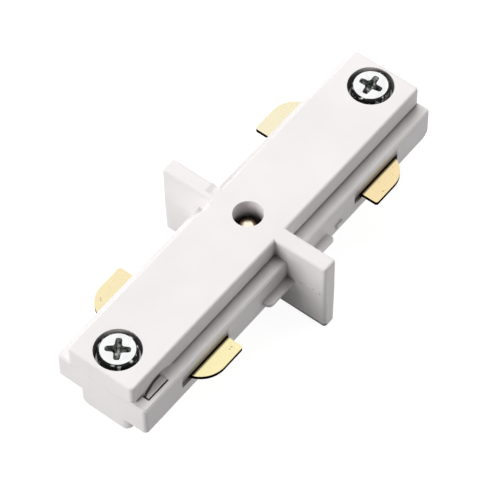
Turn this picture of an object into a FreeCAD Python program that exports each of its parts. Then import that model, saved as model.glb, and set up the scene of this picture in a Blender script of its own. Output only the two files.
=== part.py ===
import FreeCAD, Part
import math
import os

os.makedirs("parts", exist_ok=True)

# Straight connector for two lengths of surface track.
# Millimetres. X runs along the body, Z is up, and the wing feet stand on z = 0.

# Body outline
body_length = 79.0
body_top_z = 17.2
seam_z = 13.0
cover_width = 13.9
shoulder_width = 19.0
shoulder_bottom_z = 7.2
front_shoulder_bottom_z = 6.25
keel_width = 10.2
keel_shift = -0.9
keel_bottom_z = 3.7
cover_edge_radius = 0.5
cover_corner_radius = 0.8
cover_seam_chamfer = 0.3
shoulder_corner_radius = 0.8
shoulder_edge_chamfer = 0.3
far_end_radius = 3.2
keel_corner_radius = 1.2
keel_end_radius = 1.8

# Wings that the track ends butt against
wing_span = 35.0
wing_upper_thickness = 3.15
wing_lower_thickness = 3.15
wing_foot_thickness = 2.6
wing_edge_radius = 0.6
wing_seam_z = 10.0
wing_foot_chamfer = 0.4
wing_notch_start = 7.1
wing_notch_width = 1.7
wing_notch_reach = 2.2
wing_notch_depth = 0.3

# Ledges beside the wings
ledge_length = 17.9
ledge_shift = 0.65
ledge_span = 22.2
ledge_top_z = 8.95
ledge_thickness = 0.75
ledge_near_radius = 1.0
ledge_far_radius = 0.4

# Small marks of the moulding
relief_centre_x = -3.2
relief_length = 3.0
relief_depth = 0.7
lug_centre_x = 13.0
lug_bottom_z = 7.6
lug_length = 1.6
lug_height = 1.1
lug_proud = 0.35
gate_inner_y = 7.0
gate_outer_y = 8.5
gate_length = 5.2
gate_depth = 0.8
gate_groove = 0.35
gate_stub_drop = 0.1
gate_arch_radius = 5.0
gate_arch_height = 1.4
gate_arch_depth = 0.5
gate_arch_shift = 1.6

# Hollow of the housing
side_wall = 3.0
end_wall = 1.2
keel_wall = 1.2
keel_floor = 1.2
slot_floor_z = 8.7
slot_height = 1.7
slot_length = 12.3
slot_end_distance = 15.8

# Contact strips
strip_thickness = 0.8
strip_wall_clearance = 0.1
strip_web_width = 2.8
strip_shift = 1.0
blade_length = 10.05
blade_lead_radius = 5.0
blade_corner_radius = 0.45
front_blade_reach = 12.7
back_blade_reach = 13.9

# Ground strip in the keel
ground_thickness = 1.5
ground_side_clearance = 0.1
ground_end_clearance = 0.5
ground_corner_radius = 0.6
collar_diameter = 5.6

# Lock screws and washers
screw_end_distance = 4.87
screw_diameter = 3.9
thread_clearance = 0.05
screw_tip_z = 4.2
screw_tip_chamfer = 0.5
screw_hole_diameter = 4.6
screw_travel = 3.0
travel_end_gap = 0.02
head_diameter = 7.0
head_top_diameter = 6.1
head_top_z = 17.45
head_height = 2.6
head_rim_height = 1.9
cross_span = 4.4
cross_bottom_span = 2.0
cross_width = 1.1
cross_bottom_width = 0.7
cross_depth = 1.6
near_cross_angle = 33.0
far_cross_angle = 6.0
washer_diameter = 7.6
washer_hole_diameter = 4.3
washer_thickness = 0.9
washer_slit = 0.6
washer_slit_angle = 70.0

# Cover features
recess_diameter = 8.3
sleeve_wall = 1.2
sleeve_end_clearance = 0.1
cover_wall = 1.8
pocket_side_wall = 1.5
pocket_centre_gap = 5.2
pocket_sleeve_gap = 0.6
lip_depth = 1.4
lip_thickness = 0.8
lip_clearance = 0.1
lip_end_gap = 1.9
barrier_thickness = 2.0
barrier_bottom_z = 7.6
hold_rib_thickness = 1.0
hold_rib_y = 4.6
hold_rib_start = 6.5
hold_rib_end_gap = 1.2

# Centre boss and rivet
centre_hole_diameter = 5.4
centre_hole_depth = 7.0
centre_boss_diameter = 8.4
centre_neck_diameter = 5.8
rivet_diameter = 2.2
rivet_clearance = 0.1
rivet_head_diameter = 4.0
rivet_head_height = 3.4
rivet_head_dome = 1.0
rivet_foot_diameter = 3.8
rivet_foot_edge = 0.35
rivet_foot_dome = 0.25

# Levels and half sizes that several pieces share
half_length = body_length / 2
cavity_half_length = half_length - end_wall
cavity_half_width = shoulder_width / 2 - side_wall
channel_half_width = keel_width / 2 - abs(keel_shift) - keel_wall
slot_offset = half_length - slot_end_distance
screw_offset = half_length - screw_end_distance
sleeve_edge_x = screw_offset - recess_diameter / 2 - sleeve_wall
channel_floor_z = keel_bottom_z + keel_floor
ground_top_z = channel_floor_z + ground_thickness
strip_top_z = slot_floor_z + strip_thickness
head_under_z = head_top_z - head_height
washer_under_z = head_under_z - washer_thickness
seat_z = washer_under_z - screw_travel - travel_end_gap
centre_floor_z = body_top_z - centre_hole_depth


def box(x0, x1, y0, y1, z0, z1):
    corner = FreeCAD.Vector(x0, y0, z0)
    return Part.makeBox(x1 - x0, y1 - y0, z1 - z0, corner)


def post(x, y, diameter, z0, z1):
    base = FreeCAD.Vector(x, y, z0)
    return Part.makeCylinder(diameter / 2, z1 - z0, base)


def along_z(edge):
    first = edge.Vertexes[0].Point
    last = edge.Vertexes[-1].Point
    return abs(first.z - last.z) > 1e-6


def rounded(shape, radius, wanted):
    edges = [edge for edge in shape.Edges if wanted(edge)]
    return shape.makeFillet(radius, edges)


def at_level(z):
    def wanted(edge):
        bounds = edge.BoundBox
        return abs(bounds.ZMin - z) < 1e-4 and abs(bounds.ZMax - z) < 1e-4
    return wanted


def mirrored_sides(side_shape):
    other = side_shape.mirror(FreeCAD.Vector(0, 0, 0), FreeCAD.Vector(0, 1, 0))
    return [side_shape, other]


def turned(points):
    corners = [FreeCAD.Vector(radius, 0, z) for radius, z in points]
    outline = Part.makePolygon(corners + [corners[0]])
    return Part.Face(outline).revolve(FreeCAD.Vector(0, 0, 0), FreeCAD.Vector(0, 0, 1), 360)


def dome_points(radius, base_z, height, steps):
    points = []
    for step in range(steps + 1):
        angle = math.pi / 2 * step / steps
        points.append((radius * math.cos(angle), base_z + height * math.sin(angle)))
    return points


# Base housing: shoulders, keel, ledges and the lower half of the wings

def shoulder_bar(inner_y, outer_y, bottom_z):
    bar = box(-half_length, half_length, min(inner_y, outer_y), max(inner_y, outer_y),
              bottom_z, seam_z)

    def outer_corner(edge):
        return along_z(edge) and abs(edge.BoundBox.YMin - outer_y) < 1e-4

    def outer_long_edge(edge):
        bounds = edge.BoundBox
        return bounds.XLength > body_length / 2 and abs(bounds.YMin - outer_y) < 1e-4
    bar = rounded(bar, shoulder_corner_radius, outer_corner)
    edges = [edge for edge in bar.Edges if outer_long_edge(edge)]
    bar = bar.makeChamfer(shoulder_edge_chamfer, edges)
    trim = box(half_length - far_end_radius, half_length, -shoulder_width, shoulder_width,
               bottom_z, bottom_z + far_end_radius)
    centre = FreeCAD.Vector(half_length - far_end_radius, -shoulder_width,
                            bottom_z + far_end_radius)
    roller = Part.makeCylinder(far_end_radius, 2 * shoulder_width, centre,
                               FreeCAD.Vector(0, 1, 0))
    return bar.cut(trim.cut(roller))


def keel_bar():
    bar = box(-half_length, half_length, keel_shift - keel_width / 2,
              keel_shift + keel_width / 2, keel_bottom_z, slot_floor_z)

    def lower_long_edge(edge):
        bounds = edge.BoundBox
        return bounds.XLength > body_length / 2 and bounds.ZMax < keel_bottom_z + 1e-4

    def front_end_edge(edge):
        return along_z(edge) and edge.BoundBox.YMin < keel_shift
    section = rounded(bar, keel_corner_radius, lower_long_edge)
    return section.common(rounded(bar, keel_end_radius, front_end_edge))


def lower_wing():
    # Thinner at the foot, so that it leaves the mould.
    root_y = cavity_half_width / 2
    corners = [FreeCAD.Vector(x, root_y, z) for x, z in (
        (-wing_foot_thickness / 2, 0), (wing_foot_thickness / 2, 0),
        (wing_lower_thickness / 2, wing_seam_z), (-wing_lower_thickness / 2, wing_seam_z))]
    outline = Part.makePolygon(corners + [corners[0]])
    wing = Part.Face(outline).extrude(FreeCAD.Vector(0, wing_span / 2 - root_y, 0))

    def outer_edge(edge):
        return along_z(edge) and edge.BoundBox.YMin > wing_span / 2 - 1e-4
    wing = rounded(wing, wing_edge_radius, outer_edge)

    def outer_foot_edge(edge):
        bounds = edge.BoundBox
        return bounds.ZMax < 1e-4 and bounds.YMin > wing_span / 2 - 1e-4
    wing = wing.makeChamfer(wing_foot_chamfer, [edge for edge in wing.Edges if outer_foot_edge(edge)])
    inside = box(-wing_lower_thickness, wing_lower_thickness, 0, cavity_half_width,
                 slot_floor_z, seam_z)
    return wing.cut(inside)


def ledge():
    near_x = ledge_shift - ledge_length / 2
    far_x = ledge_shift + ledge_length / 2
    shelf = box(near_x, far_x, shoulder_width / 2 - side_wall / 2, ledge_span / 2,
                ledge_top_z - ledge_thickness, ledge_top_z)

    def outer_corner(x):
        def wanted(edge):
            bounds = edge.BoundBox
            return (along_z(edge) and abs(bounds.XMin - x) < 1e-4
                    and bounds.YMin > ledge_span / 2 - 1e-4)
        return wanted
    shelf = rounded(shelf, ledge_near_radius, outer_corner(near_x))
    return rounded(shelf, ledge_far_radius, outer_corner(far_x))


def lug():
    return box(lug_centre_x - lug_length / 2, lug_centre_x + lug_length / 2,
               -shoulder_width / 2 - lug_proud, -shoulder_width / 2 + side_wall / 2,
               lug_bottom_z, lug_bottom_z + lug_height)


def gate_mark():
    # A groove around the stub that the cut-off gate left.
    near_x = -screw_offset - gate_length / 2
    far_x = -screw_offset + gate_length / 2
    floor_z = seam_z - gate_depth
    groove = box(near_x, far_x, -gate_outer_y, -gate_inner_y, floor_z, seam_z)
    stub = box(near_x + gate_groove, far_x, -gate_outer_y + gate_groove, -gate_inner_y,
               floor_z, seam_z - gate_stub_drop)
    return groove.cut(stub)


def base_housing():
    half_width = shoulder_width / 2
    body = shoulder_bar(keel_shift, half_width, shoulder_bottom_z)
    body = body.fuse(shoulder_bar(keel_shift, -half_width, front_shoulder_bottom_z))
    body = body.fuse([keel_bar(), lug()])
    body = body.fuse(mirrored_sides(lower_wing()))
    body = body.fuse(mirrored_sides(ledge()))
    cavity = box(-cavity_half_length, cavity_half_length, -cavity_half_width, cavity_half_width,
                 slot_floor_z, seam_z)
    channel = box(-cavity_half_length, cavity_half_length,
                  -channel_half_width, channel_half_width, channel_floor_z, slot_floor_z)
    cuts = [cavity, channel, gate_mark()]
    for side in (-1, 1):
        centre = side * slot_offset
        cuts.append(box(centre - slot_length / 2, centre + slot_length / 2,
                        -shoulder_width / 2, shoulder_width / 2,
                        slot_floor_z, slot_floor_z + slot_height))
        cuts.append(post(side * screw_offset, 0, recess_diameter, seat_z, seam_z))
        cuts.append(post(side * screw_offset, 0, screw_hole_diameter,
                         keel_bottom_z, channel_floor_z))
    cuts.append(post(0, 0, rivet_diameter + 2 * rivet_clearance,
                     keel_bottom_z, channel_floor_z))
    return body.cut(cuts).removeSplitter()


# Top cover: block with the screw recesses, and the upper half of the wings

def cover_outline():
    block = box(-half_length, half_length, -cover_width / 2, cover_width / 2,
                seam_z, body_top_z)
    half = wing_upper_thickness / 2
    wings = box(-half, half, -wing_span / 2, wing_span / 2, seam_z, body_top_z)
    tips = mirrored_sides(box(-half, half, shoulder_width / 2, wing_span / 2,
                              wing_seam_z, seam_z))
    whole = block.fuse([wings] + tips).removeSplitter()

    def seam_edge(edge):
        bounds = edge.BoundBox
        return (at_level(seam_z)(edge) and bounds.YLength < 1e-4
                and abs(abs(bounds.YMin) - cover_width / 2) < 1e-4)
    seam_edges = [edge for edge in whole.Edges if seam_edge(edge)]
    whole = whole.makeChamfer(cover_seam_chamfer, seam_edges)

    def block_corner(edge):
        return along_z(edge) and abs(abs(edge.BoundBox.XMin) - half_length) < 1e-4

    def wing_corner(edge):
        return along_z(edge) and abs(abs(edge.BoundBox.YMin) - wing_span / 2) < 1e-4
    whole = rounded(whole, cover_corner_radius, block_corner)
    whole = rounded(whole, wing_edge_radius, wing_corner)
    return rounded(whole, cover_edge_radius, at_level(body_top_z))


def gate_arch():
    # The room above the gate, where the cutter reached in.
    wall_y = -cover_width / 2
    foot = FreeCAD.Vector(gate_arch_shift - screw_offset, wall_y - gate_arch_depth,
                          seam_z + gate_arch_height - gate_arch_radius)
    roller = Part.makeCylinder(gate_arch_radius, 2 * gate_arch_depth, foot,
                               FreeCAD.Vector(0, 1, 0))
    return roller.common(box(-half_length, 0, wall_y - gate_arch_depth,
                             wall_y + gate_arch_depth, seam_z, body_top_z))


def sleeve(side):
    tube = post(side * screw_offset, 0, recess_diameter + 2 * sleeve_wall,
                strip_top_z, seam_z + cover_wall)
    reach = cavity_half_length - sleeve_end_clearance
    room = box(-reach, reach, -cavity_half_width, cavity_half_width,
               strip_top_z, seam_z + cover_wall)
    return tube.common(room)


def pocket(side):
    half_width = cover_width / 2 - pocket_side_wall
    shape = box(pocket_centre_gap, sleeve_edge_x - pocket_sleeve_gap, -half_width, half_width,
                seam_z, body_top_z - cover_wall)
    if side > 0:
        return shape
    return shape.mirror(FreeCAD.Vector(0, 0, 0), FreeCAD.Vector(1, 0, 0))


def cover_ribs():
    ceiling_z = body_top_z - cover_wall
    reach = screw_offset - recess_diameter / 2
    ribs = [box(-reach, reach, -barrier_thickness / 2, barrier_thickness / 2,
                barrier_bottom_z, ceiling_z)]
    lip_outer = cavity_half_width - lip_clearance
    lip_reach = sleeve_edge_x - lip_end_gap
    rib_length = sleeve_edge_x - hold_rib_end_gap - hold_rib_start
    for side in (-1, 1):
        outer = side * lip_outer
        inner = side * (lip_outer - lip_thickness)
        ribs.append(box(-lip_reach, lip_reach, min(outer, inner), max(outer, inner),
                        seam_z - lip_depth, seam_z))
        for end in (-1, 1):
            start = end * hold_rib_start
            stop = end * (hold_rib_start + rib_length)
            middle = side * hold_rib_y
            ribs.append(box(min(start, stop), max(start, stop),
                            middle - hold_rib_thickness / 2, middle + hold_rib_thickness / 2,
                            strip_top_z, ceiling_z))
    return ribs


def top_cover():
    body = cover_outline().cut([pocket(-1), pocket(1)])
    additions = [sleeve(-1), sleeve(1)] + cover_ribs()
    additions.append(post(0, 0, centre_boss_diameter, strip_top_z, seam_z))
    additions.append(post(0, 0, centre_neck_diameter, ground_top_z, seam_z))
    body = body.fuse(additions)
    notch_floor = body_top_z - wing_notch_depth
    wing_far_x = wing_upper_thickness / 2
    cuts = [box(wing_far_x - wing_notch_reach, wing_far_x, wing_notch_start,
                wing_notch_start + wing_notch_width, notch_floor, body_top_z),
            box(relief_centre_x - relief_length / 2, relief_centre_x + relief_length / 2,
                cover_width / 2 - relief_depth, cover_width / 2,
                body_top_z - relief_depth, body_top_z),
            post(0, 0, centre_hole_diameter, centre_floor_z, body_top_z),
            post(0, 0, rivet_diameter + 2 * rivet_clearance, ground_top_z, centre_floor_z),
            gate_arch()]
    for side in (-1, 1):
        x = side * screw_offset
        cuts.append(post(x, 0, recess_diameter, seat_z, body_top_z))
        cuts.append(post(x, 0, screw_hole_diameter, barrier_bottom_z, seat_z))
    return body.cut(cuts).removeSplitter()


# Contact strips: one web inside the housing and two blades out through the slots

def contact_strip(side, reach):
    web_outer = cavity_half_width - strip_wall_clearance
    web_inner = web_outer - strip_web_width
    left = strip_shift - slot_offset - blade_length / 2
    right = strip_shift + slot_offset + blade_length / 2
    strip = box(left, right, web_inner, web_outer, slot_floor_z, strip_top_z)
    for end in (-1, 1):
        middle = strip_shift + end * slot_offset
        blade = box(middle - blade_length / 2, middle + blade_length / 2,
                    web_inner, reach, slot_floor_z, strip_top_z)
        outer_x = middle + end * blade_length / 2
        inner_x = middle - end * blade_length / 2

        def corner_at(x):
            def wanted(edge):
                bounds = edge.BoundBox
                return (along_z(edge) and abs(bounds.XMin - x) < 1e-4
                        and bounds.YMin > reach - 1e-4)
            return wanted
        blade = rounded(blade, blade_lead_radius, corner_at(outer_x))
        blade = rounded(blade, blade_corner_radius, corner_at(inner_x))
        strip = strip.fuse(blade)
    strip = strip.removeSplitter()
    if side > 0:
        return strip
    return strip.mirror(FreeCAD.Vector(0, 0, 0), FreeCAD.Vector(0, 1, 0))


# Ground strip: flat bar on the keel floor with a tapped collar under each screw

def ground_strip():
    reach = cavity_half_length - ground_end_clearance
    half_width = channel_half_width - ground_side_clearance
    bar = box(-reach, reach, -half_width, half_width, channel_floor_z, ground_top_z)
    bar = rounded(bar, ground_corner_radius, along_z)
    collars = [post(side * screw_offset, 0, collar_diameter, channel_floor_z, strip_top_z)
               for side in (-1, 1)]
    bar = bar.fuse(collars)
    bore = screw_diameter + 2 * thread_clearance
    cuts = [post(side * screw_offset, 0, bore, channel_floor_z, strip_top_z)
            for side in (-1, 1)]
    cuts.append(post(0, 0, rivet_diameter + 2 * rivet_clearance,
                     channel_floor_z, ground_top_z))
    return bar.cut(cuts).removeSplitter()


# Lock screws: pan head with a cross recess

def cross_arm(angle):
    def level(span, width, z):
        corners = [FreeCAD.Vector(sx * span / 2, sy * width / 2, z)
                   for sx, sy in ((-1, -1), (1, -1), (1, 1), (-1, 1))]
        return Part.makePolygon(corners + [corners[0]])
    arm = Part.makeLoft([level(cross_span, cross_width, head_top_z),
                         level(cross_bottom_span, cross_bottom_width,
                               head_top_z - cross_depth)], True)
    arm.rotate(FreeCAD.Vector(0, 0, 0), FreeCAD.Vector(0, 0, 1), angle)
    return arm


def lock_screw(side, cross_angle):
    shank_radius = screw_diameter / 2
    rim_z = head_under_z + head_rim_height
    outline = [(0, screw_tip_z),
               (shank_radius - screw_tip_chamfer, screw_tip_z),
               (shank_radius, screw_tip_z + screw_tip_chamfer),
               (shank_radius, head_under_z),
               (head_diameter / 2, head_under_z)]
    steps = 3
    bulge = (head_diameter - head_top_diameter) / 2
    for step in range(steps + 1):
        angle = math.pi / 2 * step / steps
        outline.append((head_top_diameter / 2 + bulge * math.cos(angle),
                        rim_z + (head_top_z - rim_z) * math.sin(angle)))
    outline.append((0, head_top_z))
    screw = turned(outline)
    screw = screw.cut([cross_arm(cross_angle), cross_arm(cross_angle + 90)])
    screw.translate(FreeCAD.Vector(side * screw_offset, 0, 0))
    return screw


# Lock washers: split rings under the screw heads

def lock_washer(side):
    x = side * screw_offset
    ring = post(x, 0, washer_diameter, washer_under_z, head_under_z)
    hole = post(x, 0, washer_hole_diameter, washer_under_z, head_under_z)
    slit = box(0, washer_diameter, -washer_slit / 2, washer_slit / 2,
               washer_under_z, head_under_z)
    slit.rotate(FreeCAD.Vector(0, 0, 0), FreeCAD.Vector(0, 0, 1), washer_slit_angle)
    slit.translate(FreeCAD.Vector(x, 0, 0))
    return ring.cut([hole, slit])


# Centre rivet: clamps the cover, the ground strip and the keel together

def centre_rivet():
    shank = rivet_diameter / 2
    head_z = centre_floor_z + rivet_head_height
    foot_z = keel_bottom_z - rivet_foot_edge
    steps = 4
    foot = dome_points(rivet_foot_diameter / 2, foot_z, -rivet_foot_dome, steps)
    foot.reverse()
    head = dome_points(rivet_head_diameter / 2, head_z, rivet_head_dome, steps)
    outline = foot + [(rivet_foot_diameter / 2, keel_bottom_z),
                      (shank, keel_bottom_z),
                      (shank, centre_floor_z),
                      (rivet_head_diameter / 2, centre_floor_z)] + head
    return turned(outline)


pieces = {
    "base_housing": base_housing(),
    "top_cover": top_cover(),
    "contact_strip_front": contact_strip(-1, front_blade_reach),
    "contact_strip_back": contact_strip(1, back_blade_reach),
    "ground_strip": ground_strip(),
    "near_lock_screw": lock_screw(-1, near_cross_angle),
    "far_lock_screw": lock_screw(1, far_cross_angle),
    "near_lock_washer": lock_washer(-1),
    "far_lock_washer": lock_washer(1),
    "centre_rivet": centre_rivet(),
}

for name, shape in pieces.items():
    shape.exportStep("parts/" + name + ".step")
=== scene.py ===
import math

import bmesh
import bpy
from mathutils import Matrix, Vector


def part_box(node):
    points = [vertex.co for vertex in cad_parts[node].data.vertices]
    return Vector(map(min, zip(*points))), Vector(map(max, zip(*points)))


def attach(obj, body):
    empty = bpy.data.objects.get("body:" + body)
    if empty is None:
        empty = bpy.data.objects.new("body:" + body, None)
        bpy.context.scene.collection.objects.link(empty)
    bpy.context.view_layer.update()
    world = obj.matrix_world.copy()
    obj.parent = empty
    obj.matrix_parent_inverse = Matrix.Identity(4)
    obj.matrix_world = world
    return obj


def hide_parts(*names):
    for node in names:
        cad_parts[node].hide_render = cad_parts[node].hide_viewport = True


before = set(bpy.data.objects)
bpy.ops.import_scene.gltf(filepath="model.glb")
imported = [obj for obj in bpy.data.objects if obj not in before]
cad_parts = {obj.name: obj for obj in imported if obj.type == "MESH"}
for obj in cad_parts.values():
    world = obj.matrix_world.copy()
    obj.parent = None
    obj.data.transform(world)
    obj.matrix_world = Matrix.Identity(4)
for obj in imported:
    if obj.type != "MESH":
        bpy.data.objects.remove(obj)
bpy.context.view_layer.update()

# Base housing: the lower shell that the track slides over, with the keel, the ledges and the lower
# halves of the wings. It is white ABS, injection moulded in a spark-eroded steel mould, so it has a
# fine even grain, a soft sheen and slightly greyer flow marks.

def linear(hex_colour):
    """One sRGB hex colour as the linear colour that the shaders expect."""
    channels = [int(hex_colour[i:i + 2], 16) / 255 for i in (0, 2, 4)]
    return tuple(c / 12.92 if c <= 0.04045 else ((c + 0.055) / 1.055) ** 2.4
                 for c in channels) + (1.0,)


def add_node(material, kind, links=None, **settings):
    """Adds one shader node, with its settings and its inputs: a value, or a socket to link."""
    tree = material.node_tree
    node = tree.nodes.new("ShaderNode" + kind)
    for name, value in settings.items():
        setattr(node, name, value)
    for socket, value in (links or {}).items():
        if isinstance(value, bpy.types.NodeSocket):
            tree.links.new(value, node.inputs[socket])
        else:
            node.inputs[socket].default_value = value
    return node


def new_material(name):
    material = bpy.data.materials.new(name)
    material.use_nodes = True
    material.node_tree.nodes.clear()
    return material


def dress(node_name, material):
    """Gives a CAD node its material in every slot it has."""
    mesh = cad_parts[node_name].data
    for slot in range(len(mesh.materials)):
        mesh.materials[slot] = material
    if not mesh.materials:
        mesh.materials.append(material)


def crease_light(material, spot):
    # How much light reaches each place: least in seams, inner corners and slots. The bright screw
    # heads light up their recesses, and the room lights up the back, the near end and the open
    # gate, so these stay lighter.
    screw_x, recess_radius = 0.03463, 0.0045
    gate_x, gate_z, gate_radius = -0.03303, 0.0094, 0.0051
    along = add_node(material, "Math", {0: spot.outputs["X"]}, operation="ABSOLUTE")
    past_screw = add_node(material, "Math", {0: along.outputs[0], 1: screw_x},
                          operation="SUBTRACT")
    level = add_node(material, "CombineXYZ", {"X": past_screw.outputs[0],
                                              "Y": spot.outputs["Y"]})
    from_screw = add_node(material, "VectorMath", {0: level.outputs["Vector"]},
                          operation="LENGTH")
    recess = add_node(material, "MapRange", {"Value": from_screw.outputs["Value"],
                                             "From Min": recess_radius,
                                             "From Max": recess_radius + 0.0005,
                                             "To Min": 1.0, "To Max": 0.0})
    back = add_node(material, "MapRange", {"Value": spot.outputs["Y"],
                                           "From Min": 0.0055, "From Max": 0.0067})
    near_end = add_node(material, "MapRange", {"Value": spot.outputs["X"],
                                               "From Min": -0.0388, "From Max": -0.0384,
                                               "To Min": 1.0, "To Max": 0.0})
    past_gate = add_node(material, "Math", {0: spot.outputs["X"], 1: gate_x},
                         operation="SUBTRACT")
    over_gate = add_node(material, "Math", {0: spot.outputs["Z"], 1: gate_z},
                         operation="SUBTRACT")
    upright = add_node(material, "CombineXYZ", {"X": past_gate.outputs[0],
                                                "Y": over_gate.outputs[0]})
    from_gate = add_node(material, "VectorMath", {0: upright.outputs["Vector"]},
                         operation="LENGTH")
    gate_round = add_node(material, "MapRange", {"Value": from_gate.outputs["Value"],
                                                 "From Min": gate_radius,
                                                 "From Max": gate_radius + 0.0004,
                                                 "To Min": 1.0, "To Max": 0.0})
    gate_side = add_node(material, "MapRange", {"Value": spot.outputs["Y"],
                                                "From Min": -0.0064, "From Max": -0.0061,
                                                "To Min": 1.0, "To Max": 0.0})
    gate_floor = add_node(material, "MapRange", {"Value": spot.outputs["Z"],
                                                 "From Min": 0.0127, "From Max": 0.0129})
    gate_face = add_node(material, "Math", {0: gate_round.outputs["Result"],
                                            1: gate_side.outputs["Result"]},
                         operation="MULTIPLY")
    gate = add_node(material, "Math", {0: gate_face.outputs[0],
                                       1: gate_floor.outputs["Result"]}, operation="MULTIPLY")
    wide_places = add_node(material, "Math", {0: recess.outputs["Result"],
                                              1: back.outputs["Result"]}, operation="MAXIMUM")
    near_places = add_node(material, "Math", {0: gate.outputs[0],
                                              1: near_end.outputs["Result"]},
                           operation="MAXIMUM")
    lit = add_node(material, "Math", {0: wide_places.outputs[0], 1: near_places.outputs[0]},
                   operation="MAXIMUM")
    least = add_node(material, "MapRange", {"Value": lit.outputs[0],
                                            "To Min": 0.03, "To Max": 0.95})
    crease = add_node(material, "AmbientOcclusion", {"Distance": 0.0022}, samples=8)
    reach = add_node(material, "MapRange", {"Value": crease.outputs["AO"],
                                            "From Min": 0.08, "From Max": 0.65,
                                            "To Min": least.outputs["Result"], "To Max": 1.0})
    return reach.outputs["Result"]


def wing_light(material, spot):
    # Little light reaches the near side of the front wing below the ledge, least of all beside the
    # keel and along the foot.
    keel_side = add_node(material, "MapRange", {"Value": spot.outputs["Y"],
                                                "From Min": -0.0130, "From Max": -0.0080,
                                                "To Min": 0.0, "To Max": 0.85})
    below_ledge = add_node(material, "MapRange", {"Value": spot.outputs["Z"],
                                                  "From Min": 0.0045, "From Max": 0.0085,
                                                  "To Min": 1.0, "To Max": 0.0})
    foot = add_node(material, "MapRange", {"Value": spot.outputs["Z"],
                                           "From Min": 0.0007, "From Max": 0.0012,
                                           "To Min": 0.9, "To Max": 0.0})
    near_side = add_node(material, "MapRange", {"Value": spot.outputs["X"],
                                                "From Min": -0.0010, "From Max": -0.0006,
                                                "To Min": 1.0, "To Max": 0.0})
    off_middle = add_node(material, "Math", {0: spot.outputs["X"]}, operation="ABSOLUTE")
    in_wing = add_node(material, "MapRange", {"Value": off_middle.outputs[0],
                                              "From Min": 0.0020, "From Max": 0.0022,
                                              "To Min": 1.0, "To Max": 0.0})
    in_front = add_node(material, "MapRange", {"Value": spot.outputs["Y"],
                                               "From Min": -0.0065, "From Max": -0.0060,
                                               "To Min": 1.0, "To Max": 0.0})
    inner = add_node(material, "Math", {0: keel_side.outputs["Result"],
                                        1: below_ledge.outputs["Result"]},
                     operation="MULTIPLY")
    dark = add_node(material, "Math", {0: inner.outputs[0], 1: foot.outputs["Result"]},
                    operation="MAXIMUM")
    dark_side = add_node(material, "Math", {0: dark.outputs[0],
                                            1: near_side.outputs["Result"]},
                         operation="MULTIPLY")
    front_wing = add_node(material, "Math", {0: in_wing.outputs["Result"],
                                             1: in_front.outputs["Result"]},
                          operation="MULTIPLY")
    dark_wing = add_node(material, "Math", {0: dark_side.outputs[0],
                                            1: front_wing.outputs[0]}, operation="MULTIPLY")
    left = add_node(material, "Math", {0: 1.0, 1: dark_wing.outputs[0]}, operation="SUBTRACT")
    return left.outputs[0]


def slot_shade_and_reflection(material, spot):
    # Along the upper edge of each side slot a brown band is painted: painted shade with a painted
    # reflection of the brass blade.
    slot_x, slot_half_length = 0.0237, 0.0058
    slot_top_z, side_y = 0.0104, 0.0092
    along = add_node(material, "Math", {0: spot.outputs["X"]}, operation="ABSOLUTE")
    past_slot = add_node(material, "Math", {0: along.outputs[0], 1: slot_x},
                         operation="SUBTRACT")
    off_middle = add_node(material, "Math", {0: past_slot.outputs[0]}, operation="ABSOLUTE")
    beside = add_node(material, "MapRange", {"Value": off_middle.outputs[0],
                                             "From Min": slot_half_length,
                                             "From Max": slot_half_length + 0.0006,
                                             "To Min": 1.0, "To Max": 0.0})
    outward = add_node(material, "Math", {0: spot.outputs["Y"]}, operation="ABSOLUTE")
    side = add_node(material, "MapRange", {"Value": outward.outputs[0],
                                           "From Min": side_y, "From Max": side_y + 0.0002})
    over_slot = add_node(material, "Math", {0: spot.outputs["Z"], 1: slot_top_z},
                         operation="SUBTRACT")
    off_edge = add_node(material, "Math", {0: over_slot.outputs[0]}, operation="ABSOLUTE")
    edge = add_node(material, "MapRange", {"Value": off_edge.outputs[0],
                                           "From Min": 0.0004, "From Max": 0.0018,
                                           "To Min": 0.90, "To Max": 0.0})
    at_slot = add_node(material, "Math", {0: beside.outputs["Result"],
                                          1: side.outputs["Result"]}, operation="MULTIPLY")
    painted_band = add_node(material, "Math", {0: at_slot.outputs[0], 1: edge.outputs["Result"]},
                     operation="MULTIPLY")
    return painted_band.outputs[0]


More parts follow.
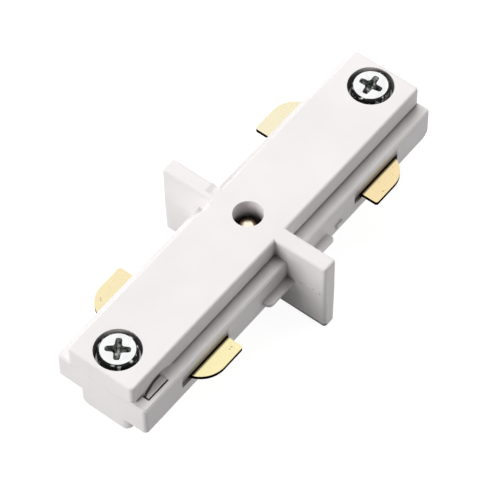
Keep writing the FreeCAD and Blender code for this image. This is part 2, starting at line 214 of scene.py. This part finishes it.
def gate_painted_shadow(material, spot):
    # Along the foot of the block, in the gate, a dark arc is painted shadow.
    centre_x, centre_y, radius = -0.0328, -0.0189, 0.0122
    middle_x, half_length, foot_z = -0.0346, 0.0023, 0.0130
    past_centre = add_node(material, "Math", {0: spot.outputs["X"], 1: centre_x},
                           operation="SUBTRACT")
    behind_centre = add_node(material, "Math", {0: spot.outputs["Y"], 1: centre_y},
                             operation="SUBTRACT")
    level = add_node(material, "CombineXYZ", {"X": past_centre.outputs[0],
                                              "Y": behind_centre.outputs[0]})
    from_centre = add_node(material, "VectorMath", {0: level.outputs["Vector"]},
                           operation="LENGTH")
    past_line = add_node(material, "Math", {0: from_centre.outputs["Value"], 1: radius},
                         operation="SUBTRACT")
    off_line = add_node(material, "Math", {0: past_line.outputs[0]}, operation="ABSOLUTE")
    line = add_node(material, "MapRange", {"Value": off_line.outputs[0],
                                           "From Min": 0.00012, "From Max": 0.00032,
                                           "To Min": 0.95, "To Max": 0.0})
    past_middle = add_node(material, "Math", {0: spot.outputs["X"], 1: middle_x},
                           operation="SUBTRACT")
    off_middle = add_node(material, "Math", {0: past_middle.outputs[0]}, operation="ABSOLUTE")
    ends = add_node(material, "MapRange", {"Value": off_middle.outputs[0],
                                           "From Min": half_length,
                                           "From Max": half_length + 0.0006,
                                           "To Min": 1.0, "To Max": 0.0})
    over_foot = add_node(material, "Math", {0: spot.outputs["Z"], 1: foot_z},
                         operation="SUBTRACT")
    off_foot = add_node(material, "Math", {0: over_foot.outputs[0]}, operation="ABSOLUTE")
    foot = add_node(material, "MapRange", {"Value": off_foot.outputs[0],
                                           "From Min": 0.0003, "From Max": 0.0005,
                                           "To Min": 1.0, "To Max": 0.0})
    stretch = add_node(material, "Math", {0: line.outputs["Result"],
                                          1: ends.outputs["Result"]}, operation="MULTIPLY")
    arc = add_node(material, "Math", {0: stretch.outputs[0], 1: foot.outputs["Result"]},
                   operation="MULTIPLY")
    return arc.outputs[0]


def moulded_abs(name, light, shade, grain_mm, flow_mm):
    # Moulded ABS: IOR 1.54, no metal, a satin skin. The grain gives the eye a soft broken
    # highlight, and the flow left faint greyer clouds. The real grain is finer than the picture
    # can show, so it is drawn a few times as coarse.
    material = new_material(name)
    place = add_node(material, "TexCoord")
    spot = add_node(material, "SeparateXYZ", {"Vector": place.outputs["Object"]})
    flow = add_node(material, "TexNoise", {"Vector": place.outputs["Object"],
                                           "Scale": 1000 / flow_mm, "Detail": 3.0,
                                           "Roughness": 0.55})
    tint = add_node(material, "ValToRGB", {"Fac": flow.outputs["Fac"]})
    tint.color_ramp.elements[0].position = 0.35
    tint.color_ramp.elements[0].color = linear(shade)
    tint.color_ramp.elements[1].position = 0.65
    tint.color_ramp.elements[1].color = linear(light)
    grain = add_node(material, "TexNoise", {"Vector": place.outputs["Object"],
                                            "Scale": 1000 / grain_mm, "Detail": 2.0})
    sheen = add_node(material, "MapRange", {"Value": grain.outputs["Fac"],
                                            "From Min": 0.3, "From Max": 0.7,
                                            "To Min": 0.40, "To Max": 0.50})
    bump = add_node(material, "Bump", {"Height": grain.outputs["Fac"], "Strength": 0.10,
                                       "Distance": 0.00002})
    # Painted shadow: a dark arc along the foot of the block in the gate.
    with_gate_shadow = add_node(material, "Mix", {"Factor": gate_painted_shadow(material, spot),
                                     6: tint.outputs["Color"], 7: linear("2A2624")},
                   data_type="RGBA")
    # Painted shade and painted brass reflection: a brown band above each side slot.
    with_slot_band = add_node(material, "Mix", {"Factor": slot_shade_and_reflection(material, spot),
                                        6: with_gate_shadow.outputs[2], 7: linear("4A2C2A")},
                      data_type="RGBA")
    dimmed = add_node(material, "Math", {0: crease_light(material, spot),
                                         1: wing_light(material, spot)}, operation="MULTIPLY")
    skin = add_node(material, "VectorMath", {0: with_slot_band.outputs[2], 1: dimmed.outputs[0]},
                    operation="MULTIPLY")
    shader = add_node(material, "BsdfPrincipled", {"Base Color": skin.outputs["Vector"],
                                                   "Roughness": sheen.outputs["Result"],
                                                   "IOR": 1.54,
                                                   "Normal": bump.outputs["Normal"]})
    add_node(material, "OutputMaterial", {"Surface": shader.outputs["BSDF"]})
    return material


housing_abs = moulded_abs("spark_grained_white_abs", "F3EFEF", "ECE8E8", 0.45, 14.0)
dress("base_housing", housing_abs)

# Contact strips: two brass stampings, each a web inside the housing and two blades that stand out
# of the side slots and touch the track's conductors. They are sheared from rolled brass strip and
# left bright, so faint rolling lines run along them.

def rolled_brass(name, near, far, line_mm, length_mm, roughness, shade_until, crown):
    # Brass strip: the rolls' lines, drawn coarser than real to show, stretch the highlight, with a
    # changing tint and brown specks. The sheared edges and the part of a blade inside and just
    # outside its slot are painted dark and dull, as painted shade; the rest shows the bright brass.
    # A blade is slightly crowned, so its shading leans outwards.
    mottle_mm = 6.25
    speck_mm = 0.91
    material = new_material(name)
    place = add_node(material, "TexCoord")
    stretch = add_node(material, "Mapping", {"Vector": place.outputs["Object"],
                                             "Scale": (line_mm / length_mm, 1.0, 1.0)})
    lines = add_node(material, "TexNoise", {"Vector": stretch.outputs["Vector"],
                                            "Scale": 1000 / line_mm, "Detail": 3.0})
    side = add_node(material, "SeparateXYZ", {"Vector": place.outputs["Object"]})
    along = add_node(material, "MapRange", {"Value": side.outputs["X"],
                                            "From Min": -0.02, "From Max": 0.02})
    mottle = add_node(material, "TexNoise", {"Vector": place.outputs["Object"],
                                            "Scale": 1000 / mottle_mm, "Detail": 2.0})
    drift = add_node(material, "MapRange", {"Value": mottle.outputs["Fac"],
                                            "From Min": 0.3, "From Max": 0.7,
                                            "To Min": -0.25, "To Max": 0.25})
    share = add_node(material, "Math", {0: along.outputs["Result"], 1: drift.outputs["Result"]},
                     operation="ADD", use_clamp=True)
    melt = add_node(material, "Mix", {"Factor": share.outputs[0],
                                      6: linear(near), 7: linear(far)}, data_type="RGBA")
    dots = add_node(material, "TexNoise", {"Vector": place.outputs["Object"],
                                           "Scale": 1000 / speck_mm, "Detail": 1.0})
    speck = add_node(material, "MapRange", {"Value": dots.outputs["Fac"],
                                            "From Min": 0.70, "From Max": 0.80,
                                            "To Min": 0.0, "To Max": 0.6})
    tint = add_node(material, "Mix", {"Factor": speck.outputs["Result"],
                                      6: melt.outputs[2], 7: linear("8A6840")},
                    data_type="RGBA")
    sheen = add_node(material, "MapRange", {"Value": lines.outputs["Fac"],
                                            "From Min": 0.3, "From Max": 0.7,
                                            "To Min": roughness, "To Max": roughness + 0.12})
    outer_side = add_node(material, "Math", {0: side.outputs["Y"]}, operation="SIGN")
    lean = add_node(material, "Math", {0: outer_side.outputs[0], 1: crown}, operation="MULTIPLY")
    outwards = add_node(material, "CombineXYZ", {"Y": lean.outputs[0]})
    turned = add_node(material, "VectorTransform", {"Vector": outwards.outputs["Vector"]},
                      vector_type="VECTOR", convert_from="OBJECT", convert_to="WORLD")
    surface = add_node(material, "NewGeometry")
    leaning = add_node(material, "VectorMath", {0: surface.outputs["Normal"],
                                                1: turned.outputs["Vector"]}, operation="ADD")
    crowned = add_node(material, "VectorMath", {0: leaning.outputs["Vector"]},
                       operation="NORMALIZE")
    bump = add_node(material, "Bump", {"Height": lines.outputs["Fac"], "Strength": 0.12,
                                       "Distance": 0.00001, "Normal": crowned.outputs["Vector"]})
    facing = add_node(material, "SeparateXYZ", {"Vector": place.outputs["Normal"]})
    level = add_node(material, "Math", {0: facing.outputs["Z"]}, operation="ABSOLUTE")
    face = add_node(material, "MapRange", {"Value": level.outputs[0],
                                           "From Min": 0.3, "From Max": 0.7})
    outward = add_node(material, "Math", {0: side.outputs["Y"]}, operation="ABSOLUTE")
    out_of_shade = add_node(material, "MapRange", {"Value": outward.outputs[0],
                                             "From Min": shade_until - 0.0005,
                                             "From Max": shade_until})
    flat = add_node(material, "Math", {0: face.outputs["Result"], 1: out_of_shade.outputs["Result"]},
                    operation="MULTIPLY")
    metal = add_node(material, "MapRange", {"Value": flat.outputs[0],
                                            "To Min": 0.0, "To Max": 0.95})
    polish = add_node(material, "Mix", {"Factor": flat.outputs[0],
                                        2: 0.9, 3: sheen.outputs["Result"]})
    skin = add_node(material, "Mix", {"Factor": flat.outputs[0],
                                      6: linear("1A0C04"), 7: tint.outputs[2]},
                    data_type="RGBA")
    shader = add_node(material, "BsdfPrincipled", {"Base Color": skin.outputs[2],
                                                   "Metallic": metal.outputs["Result"],
                                                   "Roughness": polish.outputs[0],
                                                   "Specular IOR Level": 0.0,
                                                   "Normal": bump.outputs["Normal"]})
    add_node(material, "OutputMaterial", {"Surface": shader.outputs["BSDF"]})
    return material


# slot_mouth is how far out from the middle the blades' painted shade reaches.
slot_mouth = 0.0099
blade_crown = 0.35
front_brass = rolled_brass("front_rolled_brass_strip", "FFF3BE", "FBE4B2", 0.25, 6.0, 0.20,
                           slot_mouth, blade_crown)
back_brass = rolled_brass("back_rolled_brass_strip", "FAEBBE", "F9F0CF", 0.25, 6.0, 0.20,
                          slot_mouth, blade_crown)
dress("contact_strip_front", front_brass)
dress("contact_strip_back", back_brass)

# Ground strip: a brass bar on the floor of the keel, with an extruded and tapped collar under each
# lock screw. It ties the two screws together, so it carries the earth from track to track.

earth_brass = rolled_brass("pressed_brass_bar", "D9B96B", "C6A154", 0.35, 8.0, 0.36, 0.0, 0.0)
dress("ground_strip", earth_brass)

# Top cover: the upper shell, with the screw recesses, the centre hole and the upper halves of the
# wings. The same white ABS as the housing, from its own mould with a slightly smoother top.

cover_abs = moulded_abs("satin_white_abs", "F5F1F1", "EFEBEB", 0.30, 18.0)
dress("top_cover", cover_abs)

# Parting flash: a ragged skin of plastic, up to 0.45 mm proud, that the mould squeezed out between
# the two halves of the front wing, on the side that faces the near track.

def add_piece(name, shape, *materials):
    """Makes the finished bmesh an object at the origin."""
    mesh = bpy.data.meshes.new(name)
    shape.to_mesh(mesh)
    shape.free()
    for material in materials:
        mesh.materials.append(material)
    piece = bpy.data.objects.new(name, mesh)
    bpy.context.scene.collection.objects.link(piece)
    return piece


def parting_flash(name, y_from, y_to, seam_z, steps):
    rooted = 0.0001
    least_proud, more_proud = 0.00012, 0.00034
    least_half, more_half = 0.00008, 0.00006
    quick_wave, slow_wave, thick_wave = 1.9, 0.7, 2.3
    past_root = 0.0005
    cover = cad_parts["top_cover"].data
    face_x = min(vert.co.x for vert in cover.vertices if vert.co.y < y_from - past_root)

    # A long thin prism along the seam is cut into steps. Two waves say how proud each step is,
    # and a third how thick, in radians a step.
    shape = bmesh.new()
    corners = [shape.verts.new((face_x + rooted, y_from, seam_z + least_half)),
               shape.verts.new((face_x - least_proud, y_from, seam_z)),
               shape.verts.new((face_x + rooted, y_from, seam_z - least_half))]
    end = shape.faces.new(corners)
    grown = bmesh.ops.extrude_face_region(shape, geom=[end])["geom"]
    moved = [part for part in grown if isinstance(part, bmesh.types.BMVert)]
    bmesh.ops.translate(shape, verts=moved, vec=(0, y_to - y_from, 0))
    half_length = abs(y_to - y_from) / 2
    long_edges = [edge for edge in shape.edges if edge.calc_length() > half_length]
    bmesh.ops.subdivide_edges(shape, edges=long_edges, cuts=steps - 1)
    for vert in shape.verts:
        step = round((vert.co.y - y_from) / (y_to - y_from) * steps)
        if vert.co.x < face_x:
            wave = math.sin(quick_wave * step) * math.cos(slow_wave * step)
            vert.co.x -= more_proud * abs(wave)
        else:
            half = least_half + more_half * abs(math.sin(thick_wave * step + 1))
            vert.co.z = seam_z + math.copysign(half, vert.co.z - seam_z)
    bmesh.ops.recalc_face_normals(shape, faces=shape.faces)
    piece = add_piece(name, shape, cover_abs)
    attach(piece, "connector_body")


parting_flash("front_wing_flash", -0.0124, -0.0166, 0.0100, 14)

# Notch slope: the outer wall of the shallow notch in the back wing's top runs out as a slope, which
# lets the mould open. It is one with the cover's plastic.

def notch_slope(name, x_from, x_to, wall_y, floor_z, run):
    # A prism whose top stays a hair under the cover's, so that the two don't lie in one plane.
    rooted, below_top = 0.0001, 0.00001
    top_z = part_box("top_cover")[1][2] - below_top
    shape = bmesh.new()
    corners = [shape.verts.new((x_from, wall_y + rooted, floor_z - rooted)),
               shape.verts.new((x_from, wall_y + rooted, top_z)),
               shape.verts.new((x_from, wall_y, top_z)),
               shape.verts.new((x_from, wall_y - run, floor_z)),
               shape.verts.new((x_from, wall_y - run, floor_z - rooted))]
    end = shape.faces.new(corners)
    grown = bmesh.ops.extrude_face_region(shape, geom=[end])["geom"]
    moved = [part for part in grown if isinstance(part, bmesh.types.BMVert)]
    bmesh.ops.translate(shape, verts=moved, vec=(x_to - x_from, 0, 0))
    bmesh.ops.recalc_face_normals(shape, faces=shape.faces)
    piece = add_piece(name, shape, cover_abs)
    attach(piece, "connector_body")


notch_slope("back_wing_notch_slope", -0.0006, 0.00155, 0.0088, 0.0169, 0.0009)

# Centre rivet: a brass rivet set through the cover, the ground strip and the keel. Its low round
# head shines at the bottom of the centre hole.

def headed_brass(name, painted_highlight, painted_wall_reflection, rim, highlight_radius_mm, rim_radius_mm):
    # Cold headed brass, full metal. Its colour is a painted reflection: a painted highlight a
    # little off the middle, then a painted brown reflection of the hole's walls, and painted shade
    # dark at the rim.
    mottle_mm = 0.714
    off_middle = (0.0005, 0.0002, 0.0)
    material = new_material(name)
    place = add_node(material, "TexCoord")
    level = add_node(material, "Mapping", {"Vector": place.outputs["Object"],
                                           "Location": off_middle,
                                           "Scale": (1.0, 1.0, 0.0)})
    radius = add_node(material, "VectorMath", {0: level.outputs["Vector"]}, operation="LENGTH")
    share = add_node(material, "MapRange", {"Value": radius.outputs["Value"],
                                            "From Min": highlight_radius_mm / 1000,
                                            "From Max": rim_radius_mm / 1000})
    mottle = add_node(material, "TexNoise", {"Vector": place.outputs["Object"],
                                            "Scale": 1000 / mottle_mm, "Detail": 3.0})
    spread = add_node(material, "MapRange", {"Value": mottle.outputs["Fac"],
                                             "To Min": -0.15, "To Max": 0.15})
    highlight_to_shade = add_node(material, "Math", {0: share.outputs["Result"], 1: spread.outputs["Result"]},
                    operation="ADD", use_clamp=True)
    tint = add_node(material, "ValToRGB", {"Fac": highlight_to_shade.outputs[0]})
    tint.color_ramp.elements[0].position = 0.1
    tint.color_ramp.elements[0].color = linear(painted_highlight)
    tint.color_ramp.elements[1].position = 0.95
    tint.color_ramp.elements[1].color = linear(rim)
    tint.color_ramp.elements.new(0.4).color = linear(painted_wall_reflection)
    sheen = add_node(material, "MapRange", {"Value": highlight_to_shade.outputs[0],
                                            "To Min": 0.12, "To Max": 0.30})
    shader = add_node(material, "BsdfPrincipled", {"Base Color": tint.outputs["Color"],
                                                   "Metallic": 1.0,
                                                   "Roughness": sheen.outputs["Result"]})
    add_node(material, "OutputMaterial", {"Surface": shader.outputs["BSDF"]})
    return material


# A painted highlight, a painted reflection of the hole's walls and painted shade at the rim.
rivet_brass = headed_brass("headed_brass_wire", "FFF8E6", "8C7A58", "241A12", 0.85, 1.7)
dress("centre_rivet", rivet_brass)

# Lock washers: split spring steel rings under the screw heads, zinc plated and cleared. The plating
# is bright with a slightly cloudy bloom.

def zinc_plate(name, light, dark, dark_to, light_from, bloom_and_glints_mm, roughness):
    # Zinc on steel: full metal, cloudier where the plating is thicker. The noise is dark up to one
    # level and light from another. On the screws' flanks the dark colour is painted shade and the
    # light patches are painted glints.
    material = new_material(name)
    place = add_node(material, "TexCoord")
    bloom_and_glints = add_node(material, "TexNoise", {"Vector": place.outputs["Object"],
                                            "Scale": 1000 / bloom_and_glints_mm, "Detail": 4.0})
    tint = add_node(material, "ValToRGB", {"Fac": bloom_and_glints.outputs["Fac"]})
    tint.color_ramp.elements[0].position = dark_to
    tint.color_ramp.elements[0].color = linear(dark)
    tint.color_ramp.elements[1].position = light_from
    tint.color_ramp.elements[1].color = linear(light)
    sheen = add_node(material, "MapRange", {"Value": bloom_and_glints.outputs["Fac"],
                                            "From Min": 0.3, "From Max": 0.7,
                                            "To Min": roughness, "To Max": roughness + 0.10})
    shader = add_node(material, "BsdfPrincipled", {"Base Color": tint.outputs["Color"],
                                                   "Metallic": 1.0,
                                                   "Roughness": sheen.outputs["Result"]})
    add_node(material, "OutputMaterial", {"Surface": shader.outputs["BSDF"]})
    return material


washer_zinc = zinc_plate("zinc_plated_spring_steel", "D8D8DA", "B9BABD", 0.3, 0.7, 1.2, 0.30)
dress("near_lock_washer", washer_zinc)
dress("far_lock_washer", washer_zinc)

# Lock screws: M4 pan head machine screws with a cross recess, cold headed and thread rolled in
# steel, then bright zinc plated. The struck top is bright. The flank and the recess are painted
# dark, as painted shade, and the flank carries painted glints. They press on the track's floor and
# lock the connector.

screw_zinc = zinc_plate("bright_zinc_plated_steel", "FFFFFF", "F0F0F2", 0.3, 0.7, 1.6, 0.16)
# Painted shade with painted glints on the flank, and painted shade in the cross recess.
screw_flank = zinc_plate("headed_steel_painted_shade", "F4F6F4", "242624", 0.56, 0.70, 0.9, 0.16)
recess_zinc = zinc_plate("punched_recess_steel", "C8CCC8", "2E322E", 0.36, 0.64, 0.6, 0.32)


def pan_head_screw(name, node_name, body_name, cross_degrees):
    low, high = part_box(node_name)
    tip, top = low[2], high[2]
    head_radius = (high[0] - low[0]) / 2
    flat_radius = 0.00305
    head_height, rim_height, edge_round = 0.0026, 0.0019, 0.0001
    under = top - head_height
    rim = under + rim_height
    core_radius, crest_radius, pitch = 0.00162, 0.00195, 0.0007
    tip_chamfer, neck_round = 0.0003, 0.0003
    tip_clear, neck_clear, thread_rooted = 0.0006, 0.0004, 0.00002
    around, around_thread, around_crown = 96, 32, 8
    crease_degrees = 32
    bright_top, dark_flank, punched = 0, 1, 2
    shape = bmesh.new()

    # The head and the shank are turned from one outline, and the bright top is left open.
    outline = [(0, tip), (core_radius - tip_chamfer, tip), (core_radius, tip + tip_chamfer),
               (core_radius, under - neck_round), (crest_radius, under),
               (head_radius - edge_round, under), (head_radius, under + edge_round),
               (head_radius, rim)]
    for step in range(1, around_crown + 1):
        angle = math.pi / 2 * step / around_crown
        outline.append((flat_radius + (head_radius - flat_radius) * math.cos(angle),
                        rim + (top - rim) * math.sin(angle)))
    points = [shape.verts.new((radius, 0, z)) for radius, z in outline]
    edges = [shape.edges.new(pair) for pair in zip(points, points[1:])]
    bmesh.ops.spin(shape, geom=points + edges, cent=(0, 0, 0), axis=(0, 0, 1),
                   angle=2 * math.pi, steps=around, use_merge=True)
    bmesh.ops.remove_doubles(shape, verts=shape.verts, dist=1e-7)

    # The thread is one ridge wound round the core, rooted a little inside it. Half its height, at
    # the root and at the crest, is a share of the pitch.
    start = tip + tip_clear
    turns = int((under - start - neck_clear) / pitch)
    root_radius = core_radius - thread_rooted
    root_share, crest_share = 0.42, 0.08
    ridge = [(root_radius, -root_share), (crest_radius, -crest_share),
             (crest_radius, crest_share), (root_radius, root_share)]
    points = [shape.verts.new((radius, 0, start + share * pitch)) for radius, share in ridge]
    edges = [shape.edges.new(pair) for pair in zip(points, points[1:])]
    bmesh.ops.spin(shape, geom=points + edges, cent=(0, 0, 0), axis=(0, 0, 1),
                   dvec=(0, 0, pitch / around_thread), angle=2 * math.pi * turns,
                   steps=around_thread * turns)
    for face in shape.faces:
        face.material_index = dark_flank

    # The struck top and the tapered cross recess, from the edge of the top down to the bottom.
    def ring_edges(radii, z):
        ring = []
        for index, radius in enumerate(radii):
            angle = 2 * math.pi * index / around
            ring.append(shape.verts.new((radius * math.cos(angle), radius * math.sin(angle), z)))
        return [shape.edges.new((ring[index - 1], ring[index])) for index in range(around)]

    def cross_radii(grow, long_half, wide_half):
        # Two crossed bars with rounded ends and a round cone in the middle, as one smooth
        # outline: the first power squares the bars' ends, the second melts the bars together.
        square, melt, cone_share = 5, 8, 0.42
        radii = []
        for index in range(around):
            across = 2 * math.pi * index / around - math.radians(cross_degrees)
            bars = [((abs(math.cos(across - turn)) / (long_half + grow)) ** square
                     + (abs(math.sin(across - turn)) / (wide_half + grow)) ** square)
                    ** (-1 / square) for turn in (0, math.pi / 2)]
            cone = cone_share * long_half + grow
            radii.append((sum(bar ** melt for bar in bars) + cone ** melt) ** (1 / melt))
        return radii

    mouth_long, mouth_wide, mouth_round = 0.0021, 0.00052, 0.00008
    middle_long, middle_wide = 0.0017, 0.00044
    floor_long, floor_wide = 0.0011, 0.00036
    lip_depth, middle_depth, floor_depth, point_depth = 0.0001, 0.0010, 0.0016, 0.0020
    rings = [ring_edges([flat_radius] * around, top),
             ring_edges(cross_radii(mouth_round, mouth_long, mouth_wide), top),
             ring_edges(cross_radii(0, mouth_long, mouth_wide), top - lip_depth),
             ring_edges(cross_radii(0, middle_long, middle_wide), top - middle_depth),
             ring_edges(cross_radii(0, floor_long, floor_wide), top - floor_depth)]
    for outer, inner, finish in zip(rings, rings[1:], (bright_top, dark_flank, punched, punched)):
        for face in bmesh.ops.bridge_loops(shape, edges=outer + inner)["faces"]:
            face.material_index = finish
    floor_face = bmesh.ops.contextual_create(shape, geom=rings[-1], mat_nr=punched)["faces"]
    poked = bmesh.ops.poke(shape, faces=floor_face)
    poked["verts"][0].co = (0, 0, top - point_depth)
    bmesh.ops.remove_doubles(shape, verts=shape.verts, dist=1e-6)
    bmesh.ops.recalc_face_normals(shape, faces=shape.faces)
    for face in shape.faces:
        face.smooth = True
    for edge in shape.edges:
        edge.smooth = edge.calc_face_angle(0) < math.radians(crease_degrees)
    centre = ((low[0] + high[0]) / 2, (low[1] + high[1]) / 2, 0)
    bmesh.ops.translate(shape, verts=shape.verts, vec=centre)
    piece = add_piece(name, shape, screw_zinc, screw_flank, recess_zinc)
    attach(piece, body_name)
    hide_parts(node_name)


pan_head_screw("near_pan_head_screw", "near_lock_screw", "near_screw", 33)
pan_head_screw("far_pan_head_screw", "far_lock_screw", "far_screw", 6)

# Studio: a plain white floor, a soft overhead light, a large soft light on the near left and a
# weaker one on the far right, as in a shop photograph. The camera has the photograph's viewing
# angle, and hole_pixel is where the middle of the centre hole's rim lies in it.

floor_mesh = bpy.data.meshes.new("studio_floor")
floor_shape = bmesh.new()
bmesh.ops.create_grid(floor_shape, x_segments=1, y_segments=1, size=1.5)
floor_shape.to_mesh(floor_mesh)
floor_shape.free()
floor = bpy.data.objects.new("studio_floor", floor_mesh)
bpy.context.scene.collection.objects.link(floor)


def looked_at(material):
    # The floor and the room show as white to the eye and in a reflection, but send less light
    # onto the object than they show, so that its sides keep their shading.
    ray = add_node(material, "LightPath")
    plainly = add_node(material, "Math", {0: ray.outputs["Is Camera Ray"],
                                          1: ray.outputs["Is Glossy Ray"]}, operation="MAXIMUM")
    either_way = add_node(material, "Math", {0: plainly.outputs[0],
                                             1: ray.outputs["Is Transmission Ray"]},
                          operation="MAXIMUM")
    return either_way.outputs[0]


white_sweep = new_material("white_paper_sweep")
sweep_bounce = add_node(white_sweep, "BsdfDiffuse", {"Color": linear("9A9A9A")})
sweep_paint = add_node(white_sweep, "BsdfDiffuse", {"Color": linear("919191")})
sweep_glow = add_node(white_sweep, "Emission", {"Color": linear("FFFFFF"), "Strength": 0.93})
sweep_shown = add_node(white_sweep, "AddShader", {0: sweep_paint.outputs[0],
                                                  1: sweep_glow.outputs[0]})
sweep_mix = add_node(white_sweep, "MixShader", {0: looked_at(white_sweep),
                                                1: sweep_bounce.outputs[0],
                                                2: sweep_shown.outputs[0]})
add_node(white_sweep, "OutputMaterial", {"Surface": sweep_mix.outputs[0]})
floor_mesh.materials.append(white_sweep)

world = bpy.data.worlds.new("studio_room")
bpy.context.scene.world = world
world.use_nodes = True
world.node_tree.nodes.clear()
room_fill = add_node(world, "Background", {"Color": linear("FFFFFF"), "Strength": 0.06})
room_shown = add_node(world, "Background", {"Color": linear("FFFFFF"), "Strength": 1.0})
room_mix = add_node(world, "MixShader", {0: looked_at(world), 1: room_fill.outputs[0],
                                         2: room_shown.outputs[0]})
add_node(world, "OutputWorld", {"Surface": room_mix.outputs[0]})


def soft_light(name, place, power, width):
    # A square soft box that points at the object and leaves no bright patch in the metal.
    lamp = bpy.data.lights.new(name, "AREA")
    lamp.shape = "SQUARE"
    lamp.size = width
    lamp.energy = power
    lamp_object = bpy.data.objects.new(name, lamp)
    target = Vector((0, 0, 0.01))
    aim = (target - Vector(place)).to_track_quat("-Z", "Y")
    lamp_object.matrix_world = Matrix.Translation(place) @ aim.to_matrix().to_4x4()
    lamp_object.visible_glossy = False
    bpy.context.scene.collection.objects.link(lamp_object)


soft_light("overhead_softbox", (0.26, 0.28, 0.58), 4.15, 0.50)
soft_light("near_left_softbox", (-0.63, 0.27, 0.28), 3.9, 0.40)
soft_light("far_right_fill", (0.45, -0.60, 0.22), 1.65, 0.50)

azimuth = math.radians(-51.25)
elevation = math.radians(54.83)
roll = math.radians(0.94)
focal_pixels = 3101.0
frame_pixels = 500
hole_pixel = (248.0, 213.9)
hole_depth = 0.5231
hole_top = Vector((0, 0, 0.0172))
back = Vector((math.sin(azimuth) * math.cos(elevation),
               -math.cos(azimuth) * math.cos(elevation), math.sin(elevation)))
level_right = Vector((math.cos(azimuth), math.sin(azimuth), 0))
level_down = (-back).cross(level_right)
right = math.cos(roll) * level_right + math.sin(roll) * level_down
down = -math.sin(roll) * level_right + math.cos(roll) * level_down
offset = [(pixel - frame_pixels / 2) / focal_pixels * hole_depth for pixel in hole_pixel]
eye = hole_top - right * offset[0] - down * offset[1] + back * hole_depth
camera = bpy.data.cameras.new("photo_camera")
camera.sensor_width = 36.0
camera.lens = focal_pixels / frame_pixels * camera.sensor_width
camera.clip_start = 0.01
camera_object = bpy.data.objects.new("photo_camera", camera)
camera_object.matrix_world = (Matrix.Translation(eye)
                              @ Matrix((right, -down, back)).transposed().to_4x4())
bpy.context.scene.collection.objects.link(camera_object)
bpy.context.scene.camera = camera_object
bpy.context.scene.view_settings.view_transform = "Standard"
